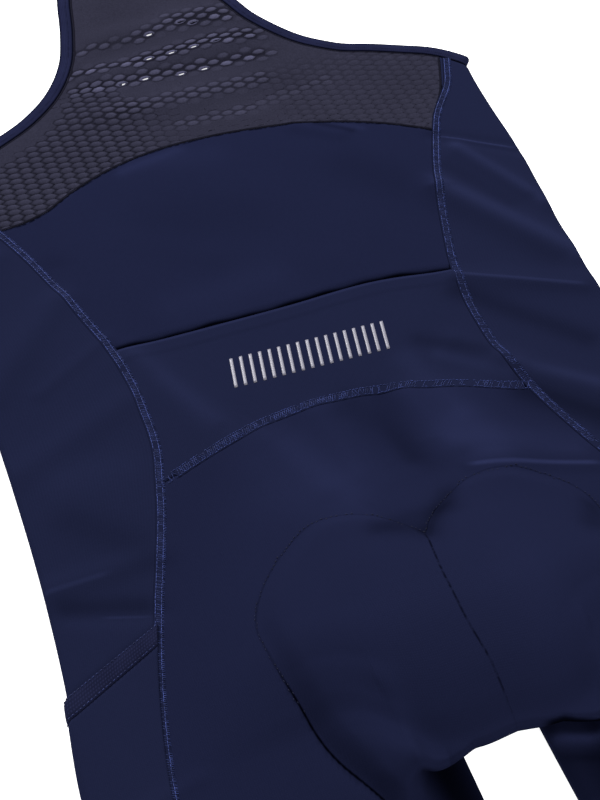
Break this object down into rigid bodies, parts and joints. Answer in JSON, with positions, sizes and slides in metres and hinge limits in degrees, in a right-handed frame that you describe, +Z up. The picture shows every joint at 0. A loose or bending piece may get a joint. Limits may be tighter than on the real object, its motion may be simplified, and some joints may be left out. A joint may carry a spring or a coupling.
{
  "type": "cycling bib shorts",
  "caption": "Close-fitting padded bib shorts laid flat face down: knitted panels, net yoke and shoulder straps, pockets, elastic leg bands.",
  "frame": {"origin": "centre of the bounding box in plan, on the surface the garment lies on", "axes": "+Y along the garment from the leg hems to the shoulders, +Z up off the surface, +X to the right as seen from above, where the garment's back faces up"},
  "size_m": [0.3894, 0.9454, 0.0479],
  "materials": {
    "main_knit": "smooth dark navy stretch knit with a faint sheen",
    "side_knit": "smooth dark navy stretch knit with a faint sheen, used on side panels and pockets",
    "net": "open hexagonal net knit, greyer than the panels",
    "trim": "elastic binding and ribbed elastic bands",
    "foam": "soft brushed pad facing over foam"
  },
  "bodies": {
    "root": {"seat_panel": "main_knit", "back_panel": "main_knit", "front_panel": "main_knit", "back_pocket": "side_knit", "side_panel_left": "side_knit", "side_panel_right": "side_knit", "leg_pocket_left": "side_knit", "leg_pocket_right": "side_knit", "yoke": "net", "strap_left": "net", "strap_right": "net", "armhole_binding_left": "trim", "armhole_binding_right": "trim", "neck_binding": "trim", "pocket_band_left": "trim", "pocket_band_right": "trim", "leg_band_left": "trim", "leg_band_right": "trim", "seat_pad": "foam"}
  },
  "joints": []
}
